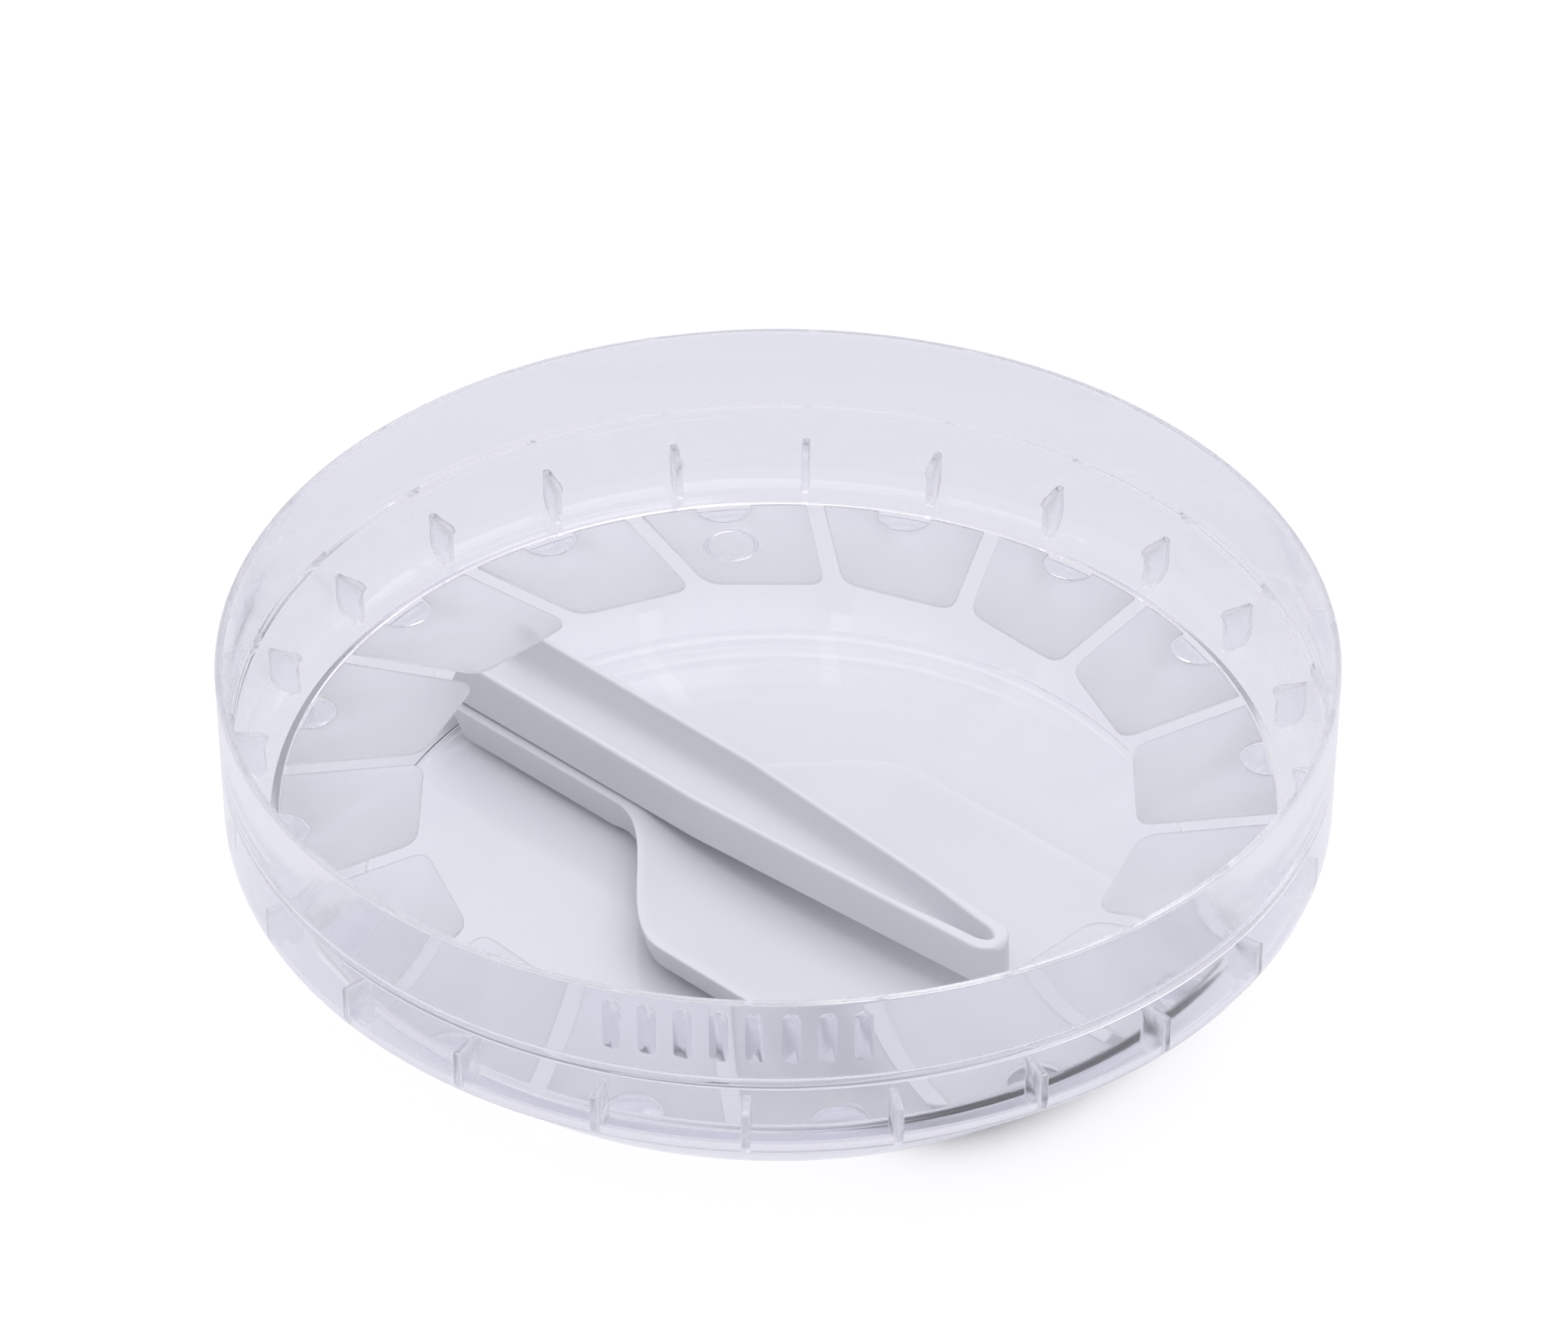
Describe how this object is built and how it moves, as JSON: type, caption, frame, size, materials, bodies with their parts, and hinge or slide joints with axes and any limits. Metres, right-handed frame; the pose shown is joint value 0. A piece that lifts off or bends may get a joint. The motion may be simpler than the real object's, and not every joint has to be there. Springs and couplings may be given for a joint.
{
  "type": "food pot lid with folding spoon",
  "caption": "Clear round push-fit food pot lid, standing on its top face, with a folded white spoon in a shallow chamber behind a ring of frosted flexing flaps.",
  "frame": {"origin": "centre of the flat top face of the lid, which it stands on", "axes": "+Z from the face it stands on up to the open edge of the skirt; the pictured side faces -Y"},
  "size_m": [0.095, 0.095, 0.0264],
  "materials": {
    "clear_plastic": "clear, gloss",
    "frosted_plastic": "clear with a frosted upper face",
    "white_plastic": "white, satin"
  },
  "bodies": {
    "lid": {"lid_shell": "clear_plastic"},
    "spoon": {"spoon_bowl": "white_plastic", "spoon_hinge_web": "white_plastic"},
    "handle": {"spoon_handle": "white_plastic"},
    "flap_01": {"flap_01": "frosted_plastic"},
    "flap_02": {"flap_02": "frosted_plastic"},
    "flap_03": {"flap_03": "frosted_plastic"},
    "flap_04": {"flap_04": "frosted_plastic"},
    "flap_05": {"flap_05": "frosted_plastic"},
    "flap_06": {"flap_06": "frosted_plastic"},
    "flap_07": {"flap_07": "frosted_plastic"},
    "flap_08": {"flap_08": "frosted_plastic"},
    "flap_09": {"flap_09": "frosted_plastic"},
    "flap_10": {"flap_10": "frosted_plastic"},
    "flap_11": {"flap_11": "frosted_plastic"},
    "flap_12": {"flap_12": "frosted_plastic"},
    "flap_13": {"flap_13": "frosted_plastic"},
    "flap_14": {"flap_14": "frosted_plastic"},
    "flap_15": {"flap_15": "frosted_plastic"},
    "flap_16": {"flap_16": "frosted_plastic"}
  },
  "joints": [
    {"name": "spoon_lift", "type": "slide", "parent": "lid", "child": "spoon", "axis": [0, 0, 1], "range_m": [0, 0.06], "deforming": ["flap_01", "flap_02", "flap_03", "flap_04", "flap_05", "flap_06", "flap_07", "flap_08", "flap_09", "flap_10", "flap_11", "flap_12", "flap_13", "flap_14", "flap_15", "flap_16"]},
    {"name": "handle_unfold", "type": "hinge", "parent": "spoon", "child": "handle", "pos_m": [-0.02876, 0.02605, 0.0044], "axis": [-0.6807, -0.7325, 0], "range_deg": [0, 180]},
    {"name": "flap_01_bend", "type": "hinge", "parent": "lid", "child": "flap_01", "pos_m": [-0.005, 0.04256, 0.01015], "axis": [-0.9932, -0.1167, 0], "range_deg": [0, 75], "stiffness_Nm_per_rad": 0.0005},
    {"name": "flap_02_bend", "type": "hinge", "parent": "lid", "child": "flap_02", "pos_m": [0.01167, 0.04123, 0.01015], "axis": [-0.9622, 0.2723, 0], "range_deg": [0, 75], "stiffness_Nm_per_rad": 0.0005},
    {"name": "flap_03_bend", "type": "hinge", "parent": "lid", "child": "flap_03", "pos_m": [0.02656, 0.03363, 0.01015], "axis": [-0.7848, 0.6198, 0], "range_deg": [0, 75], "stiffness_Nm_per_rad": 0.0005},
    {"name": "flap_04_bend", "type": "hinge", "parent": "lid", "child": "flap_04", "pos_m": [0.0374, 0.0209, 0.01015], "axis": [-0.4879, 0.8729, 0], "range_deg": [0, 75], "stiffness_Nm_per_rad": 0.0005},
    {"name": "flap_05_bend", "type": "hinge", "parent": "lid", "child": "flap_05", "pos_m": [0.04256, 0.005, 0.01015], "axis": [-0.1167, 0.9932, 0], "range_deg": [0, 75], "stiffness_Nm_per_rad": 0.0005},
    {"name": "flap_06_bend", "type": "hinge", "parent": "lid", "child": "flap_06", "pos_m": [0.04123, -0.01167, 0.01015], "axis": [0.2723, 0.9622, 0], "range_deg": [0, 75], "stiffness_Nm_per_rad": 0.0005},
    {"name": "flap_07_bend", "type": "hinge", "parent": "lid", "child": "flap_07", "pos_m": [0.03363, -0.02656, 0.01015], "axis": [0.6198, 0.7848, 0], "range_deg": [0, 75], "stiffness_Nm_per_rad": 0.0005},
    {"name": "flap_08_bend", "type": "hinge", "parent": "lid", "child": "flap_08", "pos_m": [0.0209, -0.0374, 0.01015], "axis": [0.8729, 0.4879, 0], "range_deg": [0, 75], "stiffness_Nm_per_rad": 0.0005},
    {"name": "flap_09_bend", "type": "hinge", "parent": "lid", "child": "flap_09", "pos_m": [0.005, -0.04256, 0.01015], "axis": [0.9932, 0.1167, 0], "range_deg": [0, 75], "stiffness_Nm_per_rad": 0.0005},
    {"name": "flap_10_bend", "type": "hinge", "parent": "lid", "child": "flap_10", "pos_m": [-0.01167, -0.04123, 0.01015], "axis": [0.9622, -0.2723, 0], "range_deg": [0, 75], "stiffness_Nm_per_rad": 0.0005},
    {"name": "flap_11_bend", "type": "hinge", "parent": "lid", "child": "flap_11", "pos_m": [-0.02656, -0.03363, 0.01015], "axis": [0.7848, -0.6198, 0], "range_deg": [0, 75], "stiffness_Nm_per_rad": 0.0005},
    {"name": "flap_12_bend", "type": "hinge", "parent": "lid", "child": "flap_12", "pos_m": [-0.0374, -0.0209, 0.01015], "axis": [0.4879, -0.8729, 0], "range_deg": [0, 75], "stiffness_Nm_per_rad": 0.0005},
    {"name": "flap_13_bend", "type": "hinge", "parent": "lid", "child": "flap_13", "pos_m": [-0.04256, -0.005, 0.01015], "axis": [0.1167, -0.9932, 0], "range_deg": [0, 75], "stiffness_Nm_per_rad": 0.0005},
    {"name": "flap_14_bend", "type": "hinge", "parent": "lid", "child": "flap_14", "pos_m": [-0.04123, 0.01167, 0.01015], "axis": [-0.2723, -0.9622, 0], "range_deg": [0, 75], "stiffness_Nm_per_rad": 0.0005},
    {"name": "flap_15_bend", "type": "hinge", "parent": "lid", "child": "flap_15", "pos_m": [-0.03363, 0.02656, 0.01015], "axis": [-0.6198, -0.7848, 0], "range_deg": [0, 75], "stiffness_Nm_per_rad": 0.0005},
    {"name": "flap_16_bend", "type": "hinge", "parent": "lid", "child": "flap_16", "pos_m": [-0.0209, 0.0374, 0.01015], "axis": [-0.8729, -0.4879, 0], "range_deg": [0, 75], "stiffness_Nm_per_rad": 0.0005}
  ],
  "couplings": [
    {"joint": "handle_unfold", "follows": "spoon_lift", "rad_per_m": 52.36}
  ]
}
